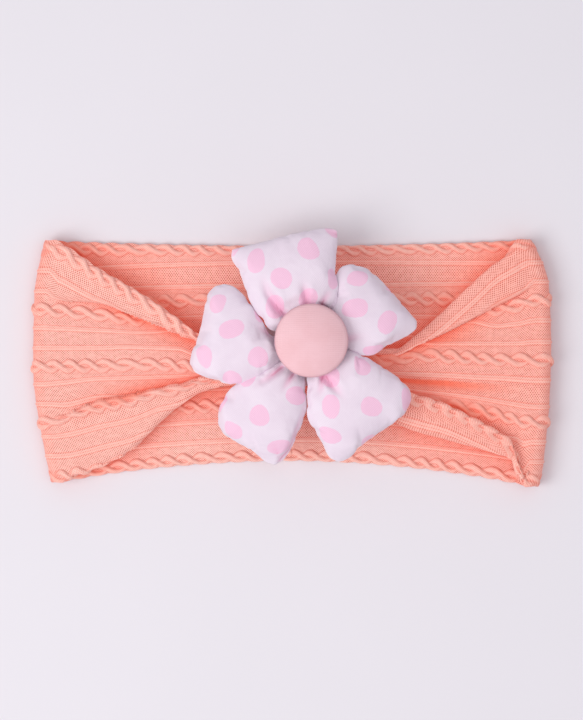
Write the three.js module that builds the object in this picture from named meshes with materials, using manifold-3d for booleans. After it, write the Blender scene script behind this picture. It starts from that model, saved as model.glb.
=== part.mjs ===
// A knitted headband with a stuffed fabric flower, lying flat as a closed loop.
//
// Units are millimetres. +X runs along the band, +Y across its width and +Z up, from the table that the
// back of the loop lies on. The origin is on the table, in the middle of the band's length and width.
//
// The band is one knitted strip, closed into a loop by a seam under the flower. It is drawn as stiff panels
// that hinge on each other, three in the back layer and four in the front layer, so that the loop opens
// like a six-sided ring to go over a head. The front layer is gathered to a waist, and the flower is sewn
// on over the gathers.

import * as THREE from "three";
import { mergeVertices } from "three/addons/utils/BufferGeometryUtils.js";
import Module from "manifold-3d";

const wasm = await Module();
wasm.setup();

// ---- driving dimensions ----

const GAP = 0.3; // clearance between pieces that touch

const HALF_LENGTH = 85.5; // middle of the band to the fold at either side
const HINGE_X = 28.5; // middle of the band to the hinges of the middle panels
const KNIT = 2.0; // thickness of the knit over its ribs
const LOOP_GAP = 5.0; // space between the back and the front layer
const FOLD_BOW = 4.6; // how far the fold lines bow outwards between the corners

const BACK_TOP = 38.6; // top edge of the back layer in the middle
const BACK_BOTTOM = -32.3; // bottom edge of the back layer in the middle
const CORNERS = {
  left: { top: 40.3, bottom: -38.3 },
  right: { top: 40.9, bottom: -40.6 },
};

const GATHER_ENDS = { left: { top: 9.2, bottom: -7.0 }, right: { top: 4.8, bottom: -14.0 } };
const GATHER_THICKNESS = 3.4; // front layer where the side panels end
const WAIST = { top: 11.2, bottom: -5.8, lift: 2.3, thickness: 4.0, half: 14 };
const SEAM_X = 12; // where the two ends of the knit are joined

const TIE = { x: -9.2, width: 2.6, thickness: 0.8 }; // the thread wound round the waist

const FLOWER_X = 6.6;
const FLOWER_Y = 7.6;
const FELT = { radius: 15, thickness: 1.2 };
const INNER_FELT = { radius: 8.2, thickness: 1.1 };

const COTTON = 0.6; // petal cloth
const NECK = { reach: 8.4, half: 3.2 }; // where each petal is gathered, from the flower's middle
const PETAL = { droop: 3.2, bow: 1.6, neckHalf: 2.1, bodyHalf: 4.6, edgeHalf: 0.9 };
const PETAL_SPACE = 0.8; // from a petal's side to the line it shares with its neighbour
// The lines between neighbouring petals, in degrees, going clockwise from the one before the top petal.
const BORDERS = [147, 68, -14, -91, -150];
// Each petal's axis and its two outer corners, as [degrees, distance], in the same order.
const PETALS = {
  top: { axis: 107, start: [130.9, 39.3], end: [76.7, 37.0] },
  right: { axis: 27, start: [60.5, 31.0], end: [7.7, 34.6] },
  low_right: { axis: -52.5, start: [-29.0, 37.2], end: [-76.5, 40.6] },
  low_left: { axis: -120.5, start: [-105.8, 41.5], end: [-138.7, 39.8] },
  left: { axis: -181.5, start: [-167.4, 40.5], end: [149.1, 34.8] },
};

const WHIPPING = 0.8; // thickness of the thread wound through the petal necks

const BUTTON = { radius: 12, cloth: 0.5, metal: 0.5, rim: 3.2, dome: 3.2, lip: 8.2 };
const SHANK = { flange: 3.2, neck: 1.2, eye: 1.9, wire: 0.45 };
const KNOT = { radius: 2.0, height: 0.7 };
const POST_RADIUS = 1.0; // the strands that go down from the button through the band

// ---- heights that follow from them ----

const BACK_TOP_Z = KNIT;
const MID_Z = KNIT + LOOP_GAP / 2; // the fold hinges
const FRONT_Z = KNIT + LOOP_GAP; // underside of the front layer, and its hinges
const WAIST_Z = FRONT_Z + WAIST.lift;
const WAIST_TOP = WAIST_Z + WAIST.thickness;
const FELT_Z = WAIST_TOP + GAP + TIE.thickness + GAP;
const FELT_TOP = FELT_Z + FELT.thickness;
const NECK_Z = FELT_TOP + GAP + PETAL.neckHalf; // the petals' mid height at their necks
const PETAL_RISE = PETAL.bodyHalf - PETAL.neckHalf + GAP; // keeps the thick of a petal clear of the felt
const BUTTON_Z = NECK_Z + PETAL_RISE + PETAL.bodyHalf;
const INNER_FELT_Z = WAIST_Z - GAP - INNER_FELT.thickness;

// ---- materials ----

const material = (color, roughness, metalness = 0) => new THREE.MeshStandardMaterial({ color, roughness, metalness });

const knit = material(0xf79a7f, 0.9);
const printedCotton = material(0xf3e9f2, 0.85);
const stuffing = material(0xf4f2ee, 1.0);
const felt = material(0xf2ece8, 1.0);
const thread = material(0xf3dfdc, 0.8);
const buttonCloth = material(0xf2b9ae, 0.85);
const metal = material(0xc9cbce, 0.35, 1.0);

const flat = new THREE.Group();

function add(name, geometry, mat, parent = flat) {
  const mesh = new THREE.Mesh(geometry, mat);
  mesh.name = name;
  parent.add(mesh);
  return mesh;
}

// ---- booleans ----

function solid(geometry) {
  const bare = geometry.clone();
  bare.deleteAttribute("normal");
  bare.deleteAttribute("uv");
  const merged = mergeVertices(bare, 1e-4);
  return new wasm.Manifold(
    new wasm.Mesh({
      numProp: 3,
      vertProperties: merged.attributes.position.array,
      triVerts: new Uint32Array(merged.index.array),
    }),
  );
}

function geometryOf(manifold) {
  const mesh = manifold.getMesh();
  return new THREE.BufferGeometry()
    .setAttribute("position", new THREE.BufferAttribute(new Float32Array(mesh.vertProperties), 3))
    .setIndex(new THREE.BufferAttribute(new Uint32Array(mesh.triVerts), 1));
}

// ---- sheets: a closed solid between a lower and an upper face, each a grid of points ----

// face(u, v) returns [lower point, upper point], for u and v from 0 to 1.
function sheet(columns, rows, face) {
  const points = [];
  const at = (i, j, upper) => 2 * (i * (rows + 1) + j) + upper;
  for (let i = 0; i <= columns; i++)
    for (let j = 0; j <= rows; j++)
      for (const point of face(i / columns, j / rows)) points.push(...point);
  const faces = [];
  const quad = (a, b, c, d) => faces.push(a, b, c, a, c, d);
  for (let i = 0; i < columns; i++)
    for (let j = 0; j < rows; j++) {
      quad(at(i, j, 1), at(i + 1, j, 1), at(i + 1, j + 1, 1), at(i, j + 1, 1));
      quad(at(i, j, 0), at(i, j + 1, 0), at(i + 1, j + 1, 0), at(i + 1, j, 0));
    }
  for (let i = 0; i < columns; i++) {
    quad(at(i, 0, 0), at(i + 1, 0, 0), at(i + 1, 0, 1), at(i, 0, 1));
    quad(at(i + 1, rows, 0), at(i, rows, 0), at(i, rows, 1), at(i + 1, rows, 1));
  }
  for (let j = 0; j < rows; j++) {
    quad(at(0, j + 1, 0), at(0, j, 0), at(0, j, 1), at(0, j + 1, 1));
    quad(at(columns, j, 0), at(columns, j + 1, 0), at(columns, j + 1, 1), at(columns, j, 1));
  }
  return new THREE.BufferGeometry()
    .setAttribute("position", new THREE.BufferAttribute(new Float32Array(points), 3))
    .setIndex(faces);
}

// Turns a sheet drawn on the +X side into the one on the -X side.
function mirrored(geometry) {
  const copy = geometry.clone();
  const position = copy.getAttribute("position");
  for (let i = 0; i < position.count; i++) position.setX(i, -position.getX(i));
  const index = copy.getIndex();
  for (let i = 0; i < index.count; i += 3) {
    const kept = index.getX(i);
    index.setX(i, index.getX(i + 1));
    index.setX(i + 1, kept);
  }
  return copy;
}

const mix = THREE.MathUtils.lerp;

// How far the back layer's edge has spread towards its corner at a distance x from the middle.
const spread = (x) => (x / HALF_LENGTH) ** 2;

// ---- the band ----

const SIDE_COLUMNS = 8;
const ROWS = 8;
const CURL_START = 0.625; // the share of a side panel's columns that is flat, before it curls into the fold

// A side panel runs flat from the hinge and then curls a quarter turn into the fold.
// curl is 1 for the back layer, which curls up, and -1 for the front layer, which curls down.
function sidePanel({ curl, inner, corner, thickness }) {
  const outerRadius = curl > 0 ? MID_Z : KNIT + LOOP_GAP / 2;
  return sheet(SIDE_COLUMNS, ROWS, (u, v) => {
    const cornerY = mix(corner.bottom, corner.top, v);
    const bow = FOLD_BOW * (2 * v - 1) ** 2;
    const outermost = HALF_LENGTH - bow;
    const flatEnd = outermost - outerRadius;
    const along = Math.min(u / CURL_START, 1);
    const x = mix(HINGE_X + GAP / 2, flatEnd, along);
    const innerY = mix(inner.bottom, inner.top, v);
    const y = inner.straight ? mix(innerY, cornerY, along) : mix(innerY, cornerY, spread(x) / spread(flatEnd));
    const t = mix(thickness, KNIT, along);
    if (u <= CURL_START) {
      const nearLoop = curl > 0 ? BACK_TOP_Z : FRONT_Z;
      const away = nearLoop - curl * t;
      return [[x, y, Math.min(nearLoop, away)], [x, y, Math.max(nearLoop, away)]];
    }
    // The last step of the curl stops short of the other layer's, which comes to meet it.
    const turn = ((u - CURL_START) / (1 - CURL_START)) * (Math.PI / 2 - GAP / 2 / outerRadius);
    const onArc = (radius) => [
      flatEnd + radius * Math.sin(turn),
      y,
      MID_Z - curl * radius * Math.cos(turn),
    ];
    const outer = onArc(outerRadius);
    const innerFace = onArc(outerRadius - KNIT);
    return curl > 0 ? [outer, innerFace] : [innerFace, outer];
  });
}

const backEnd = { top: BACK_TOP, bottom: BACK_BOTTOM, straight: false };

const bandSides = { left: mirrored, right: (geometry) => geometry };

for (const [side, turned] of Object.entries(bandSides)) {
  const corner = CORNERS[side];
  add(`back_${side}_panel`, turned(sidePanel({ curl: 1, inner: backEnd, corner, thickness: KNIT })), knit);
  add(
    `front_${side}_panel`,
    turned(
      sidePanel({ curl: -1, inner: { ...GATHER_ENDS[side], straight: true }, corner, thickness: GATHER_THICKNESS }),
    ),
    knit,
  );
}

// The middle of the back layer, which the headband rests on.
const MIDDLE_HALF = HINGE_X - GAP / 2;
const backMiddle = sheet(4, ROWS, (u, v) => {
  const x = mix(-MIDDLE_HALF, MIDDLE_HALF, u);
  const y = mix(BACK_BOTTOM, BACK_TOP, v);
  return [[x, y, 0], [x, y, BACK_TOP_Z]];
});
add("back_middle_panel", backMiddle, knit);

// The gathered waist: narrow, thick, and lifted a little off the back layer.
// 0 in the waist and 1 at the hinges of the side panels.
const towardsEnd = (x) => THREE.MathUtils.smoothstep(Math.abs(x), WAIST.half, MIDDLE_HALF);

const waistEdge = (x, edge) => mix(WAIST[edge], GATHER_ENDS[x < 0 ? "left" : "right"][edge], towardsEnd(x));

const gathered = (from, to, columns) =>
  sheet(columns, ROWS, (u, v) => {
    const x = mix(from, to, u);
    const y = mix(waistEdge(x, "bottom"), waistEdge(x, "top"), v);
    const lower = FRONT_Z + WAIST.lift * (1 - towardsEnd(x));
    return [[x, y, lower], [x, y, lower + mix(WAIST.thickness, GATHER_THICKNESS, towardsEnd(x))]];
  });

// The sewing thread goes down through the waist and both felts.
const THREAD_HOLE = POST_RADIUS + GAP;
const flower = new THREE.Group();
flower.position.set(FLOWER_X, FLOWER_Y, 0);
flat.add(flower);

const pierce = new THREE.CylinderGeometry(THREAD_HOLE, THREAD_HOLE, 40, 16)
  .rotateX(Math.PI / 2)
  .translate(FLOWER_X, FLOWER_Y, WAIST_Z);
const leftOfSeam = gathered(-MIDDLE_HALF, SEAM_X - GAP / 2, 12);
add("front_middle_left_panel", geometryOf(solid(leftOfSeam).subtract(solid(pierce))), knit);
add("front_middle_right_panel", gathered(SEAM_X + GAP / 2, MIDDLE_HALF, 6), knit);

// The thread wound round the waist, drawn as one flat ring.
function tieRing() {
  const { x, width, thickness } = TIE;
  const low = Math.min(waistEdge(x - width / 2, "bottom"), waistEdge(x + width / 2, "bottom")) - GAP;
  const high = Math.max(waistEdge(x - width / 2, "top"), waistEdge(x + width / 2, "top")) + GAP;
  const rectangle = (grow) => {
    const bottom = WAIST_Z - GAP - grow;
    const top = WAIST_TOP + GAP + grow;
    return [
      new THREE.Vector2(low - grow, bottom),
      new THREE.Vector2(high + grow, bottom),
      new THREE.Vector2(high + grow, top),
      new THREE.Vector2(low - grow, top),
    ];
  };
  const shape = new THREE.Shape(rectangle(thickness));
  shape.holes.push(new THREE.Path(rectangle(0)));
  // The outline is drawn in Y and Z, and turned so that its depth runs along X.
  return new THREE.ExtrudeGeometry(shape, { depth: width, bevelEnabled: false })
    .applyMatrix4(new THREE.Matrix4().makeBasis(
      new THREE.Vector3(0, 1, 0),
      new THREE.Vector3(0, 0, 1),
      new THREE.Vector3(1, 0, 0),
    ))
    .translate(x - width / 2, 0, 0);
}
add("gather_thread", tieRing(), thread);

// ---- felt discs, above and below the waist ----

// A lathe profile is a list of [radius, height]; it turns round Z.
const lathe = (profile, segments) =>
  new THREE.LatheGeometry(profile.map(([r, z]) => new THREE.Vector2(r, z)), segments).rotateX(Math.PI / 2);

const washer = (radius, hole, low, high, segments = 40) =>
  lathe([[hole, low], [radius, low], [radius, high], [hole, high], [hole, low]], segments);

add("felt_backing", washer(FELT.radius, THREAD_HOLE, FELT_Z, FELT_TOP), felt, flower);

// The inner disc is centred on the waist, so the thread goes through it off its middle.
const innerFelt = new THREE.CylinderGeometry(INNER_FELT.radius, INNER_FELT.radius, INNER_FELT.thickness, 40)
  .rotateX(Math.PI / 2)
  .translate(FLOWER_X, (WAIST.top + WAIST.bottom) / 2, INNER_FELT_Z + INNER_FELT.thickness / 2);
add("inner_felt_disc", geometryOf(solid(innerFelt).subtract(solid(pierce))), felt);

// ---- petals ----

const PETAL_STEPS = 8;
const PETAL_SIDES = 14;

const polar = ([degrees, reach]) =>
  new THREE.Vector2(reach, 0).rotateAround(new THREE.Vector2(), THREE.MathUtils.degToRad(degrees));

// A side of a petal in plan: out from the neck, along the line shared with its neighbour, to its corner.
// towards is 1 if the petal lies anticlockwise of that line and -1 if it lies clockwise.
function petalSide(neck, border, towards, corner) {
  const away = polar([border + 90 * towards, PETAL_SPACE]);
  const nearNeck = polar([border, 12]).add(away);
  const nearCorner = polar([border, 27]).add(away);
  const curve = new THREE.CubicBezierCurve(neck, nearNeck, nearCorner, polar(corner));
  return (s) => curve.getPoint(s);
}

// Half the petal's thickness, from its neck at s = 0 to its outer edge at s = 1.
function petalHalf(s) {
  const { neckHalf, bodyHalf, edgeHalf } = PETAL;
  const ends = mix(neckHalf, edgeHalf, s);
  return ends + (bodyHalf - ends) * Math.sin(Math.PI * s ** 0.9) ** 0.75;
}

// A closed loft through rings of points. Each ring is a list of Vector3, and the ends are capped.
function loft(rings) {
  const n = rings[0].length;
  const points = rings.flat().flatMap((p) => [p.x, p.y, p.z]);
  const faces = [];
  for (let i = 0; i + 1 < rings.length; i++)
    for (let j = 0; j < n; j++) {
      const a = i * n + j;
      const b = i * n + ((j + 1) % n);
      faces.push(a, b + n, b, a, a + n, b + n);
    }
  const last = (rings.length - 1) * n;
  for (let j = 1; j + 1 < n; j++) {
    faces.push(0, j, j + 1);
    faces.push(last, last + j + 1, last + j);
  }
  return new THREE.BufferGeometry()
    .setAttribute("position", new THREE.BufferAttribute(new Float32Array(points), 3))
    .setIndex(faces);
}

// The height of the petal's middle over its neck.
const petalMid = (s) => PETAL_RISE * Math.sin((Math.PI / 2) * Math.min(s / 0.3, 1)) - PETAL.droop * s * s;

// The rings of a petal, made smaller all round by inset, and stopping short of its outer edge.
function petalRings({ axis, start, end, borders }, inset) {
  const middle = polar([axis, NECK.reach]);
  const outward = polar([axis, 1]);
  const across = polar([axis + 90, NECK.half]);
  const startSide = petalSide(middle.clone().add(across), borders[0], -1, start);
  const endSide = petalSide(middle.clone().sub(across), borders[1], 1, end);
  const reach = startSide(1).add(endSide(1)).multiplyScalar(0.5).distanceTo(middle);
  const rings = [];
  for (let i = 0; i <= PETAL_STEPS; i++) {
    // The neck ring is at s = 0 for the cloth and its stuffing alike.
    const s = (i / PETAL_STEPS) * (1 - (1.5 * inset) / reach);
    const a = startSide(s);
    const b = endSide(s);
    const centre = a.clone().add(b).multiplyScalar(0.5);
    const side = a.clone().sub(b).multiplyScalar(0.5);
    side.setLength(side.length() - inset);
    const half = Math.max(petalHalf(s) - inset, 0.15);
    rings.push(
      Array.from({ length: PETAL_SIDES }, (_, k) => {
        const turn = (2 * Math.PI * k) / PETAL_SIDES;
        const point = side.clone().multiplyScalar(Math.cos(turn)).add(centre);
        point.addScaledVector(outward, PETAL.bow * s ** 3 * Math.sin(turn) ** 2);
        return new THREE.Vector3(point.x, point.y, NECK_Z + petalMid(s) - half * Math.sin(turn));
      }),
    );
  }
  return rings;
}

for (const [index, [name, corners]] of Object.entries(PETALS).entries()) {
  const petal = { ...corners, borders: [BORDERS[index], BORDERS[(index + 1) % BORDERS.length]] };
  // The cloth is a bag. What is taken out of it starts short of the neck, which leaves the neck open.
  const outside = petalRings(petal, 0);
  const inside = petalRings(petal, COTTON);
  const shortOfNeck = polar([petal.axis + 180, 1]);
  inside.unshift(inside[0].map((p) => new THREE.Vector3(p.x + shortOfNeck.x, p.y + shortOfNeck.y, p.z)));
  const bag = solid(loft(outside)).subtract(solid(loft(inside)));
  add(`${name}_petal_cover`, geometryOf(bag), printedCotton, flower);
  add(`${name}_petal_filling`, loft(petalRings(petal, COTTON + 2 * GAP)), stuffing, flower);
}

// Thread is wound round inside the lower half of the necks and stitched down to the felt. It is drawn as
// one short tube, low enough for the necks to tip inwards over it when the petals lift.
const whippingOuter = NECK.reach - GAP;
const whipping = washer(whippingOuter, whippingOuter - WHIPPING, FELT_TOP + GAP, NECK_Z - GAP, 36);
add("petal_neck_thread", whipping, thread, flower);

// ---- the covered button ----

// Half of a domed cap's outline, from its axis out over the rim and down.
function capLine(radius, rim, dome, base) {
  const points = [];
  const steps = 8;
  for (let i = 0; i <= steps; i++) {
    const r = (radius * i) / steps;
    points.push([r, base + rim + dome * (1 - (r / radius) ** 2.6)]);
  }
  points.push([radius, base + rim * 0.35]);
  points.push([radius - rim * 0.3, base]);
  return points;
}

// A skin with an even wall that wraps a domed cap and turns in under it as far as the lip.
function cappedSkin(radius, rim, dome, base, wall, lip) {
  const outer = capLine(radius, rim, dome, base);
  const inner = capLine(radius - wall, rim - 2 * wall, dome, base + wall);
  return lathe([...outer, [lip, base], [lip, base + wall], ...inner.reverse()].reverse(), 40);
}

const button = new THREE.Group();
button.position.z = BUTTON_Z;
flower.add(button);

const { radius: buttonRadius, cloth, metal: capWall, rim, dome, lip } = BUTTON;
add("button_cover_cloth", cappedSkin(buttonRadius, rim, dome, 0, cloth, lip), buttonCloth, button);
const capInset = cloth + GAP;
const capLip = lip + 0.6;
const capRim = rim - 2 * capInset;
add("button_cap", cappedSkin(buttonRadius - capInset, capRim, dome, capInset, capWall, capLip), metal, button);

// The back plate snaps in behind the cap's turned-in edge, over the shank's flange.
const plateZ = capInset + capWall + GAP;
const plateThickness = 0.5;
const plateRadius = buttonRadius - capInset - capWall - 1.4;
const shankHole = SHANK.neck + GAP;
add("button_back_plate", washer(plateRadius, shankHole, plateZ, plateZ + plateThickness), metal, button);

// The wire eye hangs below the plate, in the plane of X and Z.
const flangeZ = plateZ + plateThickness + GAP;
const eyeZ = -SHANK.eye - 0.2;
const shankStem = lathe(
  [
    [0, eyeZ + SHANK.eye - SHANK.wire * 0.6],
    [SHANK.neck, eyeZ + SHANK.eye - SHANK.wire * 0.6],
    [SHANK.neck, flangeZ],
    [SHANK.flange, flangeZ],
    [SHANK.flange, flangeZ + 0.5],
    [0, flangeZ + 0.5],
  ],
  24,
);
const eye = new THREE.TorusGeometry(SHANK.eye, SHANK.wire, 8, 24).rotateX(Math.PI / 2).translate(0, 0, eyeZ);
add("button_shank", geometryOf(solid(shankStem).add(solid(eye))), metal, button);

// ---- the thread that holds button and flower to the band ----

// A loop through the eye, in the plane of Y and Z, a post down to the inner felt, and a knot.
const loopReach = 1.6;
const loopWire = 0.35;
const eyeBottomZ = BUTTON_Z + eyeZ - SHANK.eye;
const loopZ = eyeBottomZ + SHANK.wire + GAP + loopWire - loopReach;
const postTop = loopZ - loopReach;
const knotTop = INNER_FELT_Z - GAP;
const threadLoop = new THREE.TorusGeometry(loopReach, loopWire, 8, 24).rotateY(Math.PI / 2).translate(0, 0, loopZ);
const post = lathe(
  [
    [0, knotTop - KNOT.height],
    [KNOT.radius, knotTop - KNOT.height],
    [KNOT.radius, knotTop],
    [POST_RADIUS, knotTop],
    [POST_RADIUS, postTop],
    [0, postTop],
  ],
  16,
);
add("sewing_thread", geometryOf(solid(post).add(solid(threadLoop))), thread, flower);

export default flat;
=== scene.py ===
"""A cable-knit headband lying flat, with a stuffed polka-dot flower and a covered button."""
import math

import bpy
import numpy as np
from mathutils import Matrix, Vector


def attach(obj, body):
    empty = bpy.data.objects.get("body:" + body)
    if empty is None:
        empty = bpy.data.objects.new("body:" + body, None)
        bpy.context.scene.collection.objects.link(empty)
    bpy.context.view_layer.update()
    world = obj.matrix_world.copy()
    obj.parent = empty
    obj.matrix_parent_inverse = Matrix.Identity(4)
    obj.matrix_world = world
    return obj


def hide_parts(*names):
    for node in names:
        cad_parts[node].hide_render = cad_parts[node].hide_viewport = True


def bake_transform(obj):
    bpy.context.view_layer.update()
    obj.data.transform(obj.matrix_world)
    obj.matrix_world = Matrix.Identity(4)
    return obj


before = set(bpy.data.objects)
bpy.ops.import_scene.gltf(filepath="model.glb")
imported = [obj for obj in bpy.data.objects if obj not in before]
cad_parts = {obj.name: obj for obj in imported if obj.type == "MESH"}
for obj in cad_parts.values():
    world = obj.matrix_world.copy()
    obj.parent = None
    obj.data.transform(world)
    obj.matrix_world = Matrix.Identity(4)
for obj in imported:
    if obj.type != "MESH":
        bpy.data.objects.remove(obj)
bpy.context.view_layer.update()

MM = 0.001
TURN = 2 * math.pi


# ---- small numeric tools ----


def smoothstep(low, high, x):
    t = np.clip((x - low) / (high - low), 0, 1)
    return t * t * (3 - 2 * t)


def curve_through(xs, ys, x):
    """A smooth curve through points that never overshoots them. ys may hold a row of values for each x."""
    xs, ys, x = np.asarray(xs, float), np.asarray(ys, float), np.asarray(x, float)
    tail = (1,) * (ys.ndim - 1)
    step = np.diff(xs).reshape(-1, *tail)
    rise = np.diff(ys, axis=0) / step
    slope = np.empty_like(ys)
    slope[0], slope[-1] = rise[0], rise[-1]
    same = rise[:-1] * rise[1:] > 0
    both = np.where(same, rise[:-1] + rise[1:], 1)
    slope[1:-1] = np.where(same, 2 * rise[:-1] * rise[1:] / both, 0)
    i = np.clip(np.searchsorted(xs, x) - 1, 0, len(xs) - 2)
    t = np.clip((x - xs[i]) / np.diff(xs)[i], 0, 1).reshape(-1, *tail)
    h = step[i]
    return (
        (2 * t**3 - 3 * t**2 + 1) * ys[i]
        + (t**3 - 2 * t**2 + t) * h * slope[i]
        + (3 * t**2 - 2 * t**3) * ys[i + 1]
        + (t**3 - t**2) * h * slope[i + 1]
    )


def unit(vectors):
    return vectors / np.maximum(np.linalg.norm(vectors, axis=-1, keepdims=True), 1e-9)


# ---- mesh tools ----


def new_piece(name, points_mm, faces, uvs=None, sharp=None):
    """A smooth mesh from points in millimetres and an array of quads."""
    mesh = bpy.data.meshes.new(name)
    count, sides = faces.shape
    mesh.vertices.add(len(points_mm))
    mesh.vertices.foreach_set("co", (np.asarray(points_mm) * MM).ravel())
    mesh.loops.add(count * sides)
    mesh.loops.foreach_set("vertex_index", faces.ravel().astype(np.int32))
    mesh.polygons.add(count)
    mesh.polygons.foreach_set("loop_start", np.arange(0, count * sides, sides, dtype=np.int32))
    mesh.update(calc_edges=True)
    mesh.validate()
    mesh.polygons.foreach_set("use_smooth", np.ones(len(mesh.polygons), bool))
    if uvs is not None:
        layer = mesh.uv_layers.new(name="cloth")
        corners = np.empty(len(mesh.loops), np.int32)
        mesh.loops.foreach_get("vertex_index", corners)
        layer.data.foreach_set("uv", np.asarray(uvs)[corners].ravel())
    if sharp is not None:
        mesh.set_sharp_from_angle(angle=math.radians(sharp))
    piece = bpy.data.objects.new(name, mesh)
    bpy.context.collection.objects.link(piece)
    return piece


def dress(piece, material, body=None):
    piece.data.materials.append(material)
    if body:
        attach(piece, body)


def paint(piece, name, values):
    """Stores one number per vertex for the materials to read."""
    layer = piece.data.attributes.new(name, "FLOAT", "POINT")
    layer.data.foreach_set("value", np.asarray(values, np.float32).ravel())


OTHER_WAY = [0, 3, 2, 1]  # a quad's corners taken the other way round


def grid_faces(index):
    """Quads between the neighbours in a grid of point numbers."""
    return np.stack([index[:-1, :-1], index[1:, :-1], index[1:, 1:], index[:-1, 1:]], -1).reshape(-1, 4)


def tube_faces(rings, around):
    """Quads of a tube that closes on itself both ways, with its points stored ring by ring."""
    return grid_faces(np.pad(np.arange(rings * around).reshape(rings, around), (0, 1), mode="wrap"))


def closed_sheet(name, outer, inner, uv, painted_shading, normals, flip):
    """A sheet of cloth with two faces, each a grid of points, joined round its rim."""
    columns, rows = outer.shape[:2]
    count = columns * rows
    index = np.arange(count).reshape(columns, rows)
    rim = np.concatenate([index[:, 0], index[-1, 1:], index[-2::-1, -1], index[0, -2:0:-1]])
    following = np.roll(rim, -1)
    side = np.stack([rim, rim + count, following + count, following], 1)
    faces = np.concatenate([grid_faces(index), grid_faces(index + count)[:, ::-1], side])
    if flip:
        faces = faces[:, ::-1]
    points = np.concatenate([outer.reshape(-1, 3), inner.reshape(-1, 3)])
    piece = new_piece(name, points, faces, np.tile(uv.reshape(-1, 2), (2, 1)))
    # painted_shading holds painted shade for the knit's colour, and painted light where it is below zero
    paint(piece, "painted_shading", np.tile(painted_shading.ravel(), 2))
    piece.data.normals_split_custom_set_from_vertices(normals)
    return piece


# ---- materials ----


class Socket:
    """A shader socket that can be used in arithmetic. An expression adds its Math nodes."""

    def __init__(self, shader, link):
        self.shader, self.link = shader, link

    def _math(self, operation, *values):
        return self.shader.node("ShaderNodeMath", {"operation": operation}, dict(enumerate(values)))

    def __add__(self, other):
        return self._math("ADD", self, other)

    __radd__ = __add__

    def __sub__(self, other):
        return self._math("SUBTRACT", self, other)

    def __rsub__(self, other):
        return self._math("SUBTRACT", other, self)

    def __mul__(self, other):
        return self._math("MULTIPLY", self, other)

    __rmul__ = __mul__

    def __truediv__(self, other):
        return self._math("DIVIDE", self, other)

    def sin(self):
        return self._math("SINE", self)

    def abs(self):
        return self._math("ABSOLUTE", self)

    def sqrt(self):
        return self._math("SQRT", self)

    def at_least(self, other):
        return self._math("MAXIMUM", self, other)

    def at_most(self, other):
        return self._math("MINIMUM", self, other)

    def between(self, low, high):
        """0 below low and 1 above high, with a smooth rise between them."""
        inputs = {"Value": self, "From Min": low, "From Max": high}
        return self.shader.node("ShaderNodeMapRange", {"interpolation_type": "SMOOTHSTEP"}, inputs)


class Shader:
    """A material whose nodes are written as expressions."""

    def __init__(self, name, roughness=0.8, metallic=0.0, **constants):
        self.material = bpy.data.materials.new(name)
        self.material.use_nodes = True
        self.tree = self.material.node_tree
        self.bsdf = self.tree.nodes["Principled BSDF"]
        self.bsdf.inputs["Roughness"].default_value = roughness
        self.bsdf.inputs["Metallic"].default_value = metallic
        for socket, value in constants.items():
            self.bsdf.inputs[socket.replace("_", " ")].default_value = value

    def put(self, socket, value):
        if isinstance(value, Socket):
            self.tree.links.new(value.link, socket)
        elif isinstance(value, (tuple, list)) and len(value) == 3 and socket.type == "RGBA":
            socket.default_value = (*value, 1)
        else:
            socket.default_value = value

    def node(self, kind, settings=None, inputs=None, output=0):
        node = self.tree.nodes.new(kind)
        for key, value in (settings or {}).items():
            setattr(node, key, value)
        for key, value in (inputs or {}).items():
            self.put(node.inputs[key], value)
        return Socket(self, node.outputs[output])

    def attribute(self, name):
        return self.node("ShaderNodeAttribute", {"attribute_name": name}, output="Fac")

    def cloth(self):
        """The flat cloth's own coordinates, in millimetres."""
        uv = self.node("ShaderNodeUVMap", {"uv_map": "cloth"})
        u = self.node("ShaderNodeSeparateXYZ", inputs={0: uv}, output="X")
        v = Socket(self, u.link.node.outputs["Y"])
        return u, v

    def place(self):
        """The point on the object, in millimetres."""
        at = self.node("ShaderNodeTexCoord", output="Object")
        return self.node("ShaderNodeVectorMath", {"operation": "SCALE"}, {0: at, "Scale": 1 / MM})

    def noise(self, vector, scale, detail=2.0, roughness=0.5):
        inputs = {"Vector": vector, "Scale": scale, "Detail": detail, "Roughness": roughness}
        return self.node("ShaderNodeTexNoise", {}, inputs)

    def vector(self, x, y):
        return self.node("ShaderNodeCombineXYZ", {}, {"X": x, "Y": y})

    def mix(self, share, first, second):
        settings = {"data_type": "RGBA", "blend_type": "MIX"}
        return self.node("ShaderNodeMix", settings, {0: share, 6: first, 7: second}, output=2)

    def colour(self, value):
        self.put(self.bsdf.inputs["Base Color"], value)

    def rough(self, value):
        self.put(self.bsdf.inputs["Roughness"], value)

    def bump(self, height, strength=0.5, distance_mm=0.2):
        inputs = {"Strength": strength, "Distance": distance_mm * MM, "Height": height}
        self.put(self.bsdf.inputs["Normal"], self.node("ShaderNodeBump", {}, inputs))


EYELET_PITCH = 1.6  # of the openwork, in millimetres
PLY_PITCH = 0.75  # of the lines on the cables' strands


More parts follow.
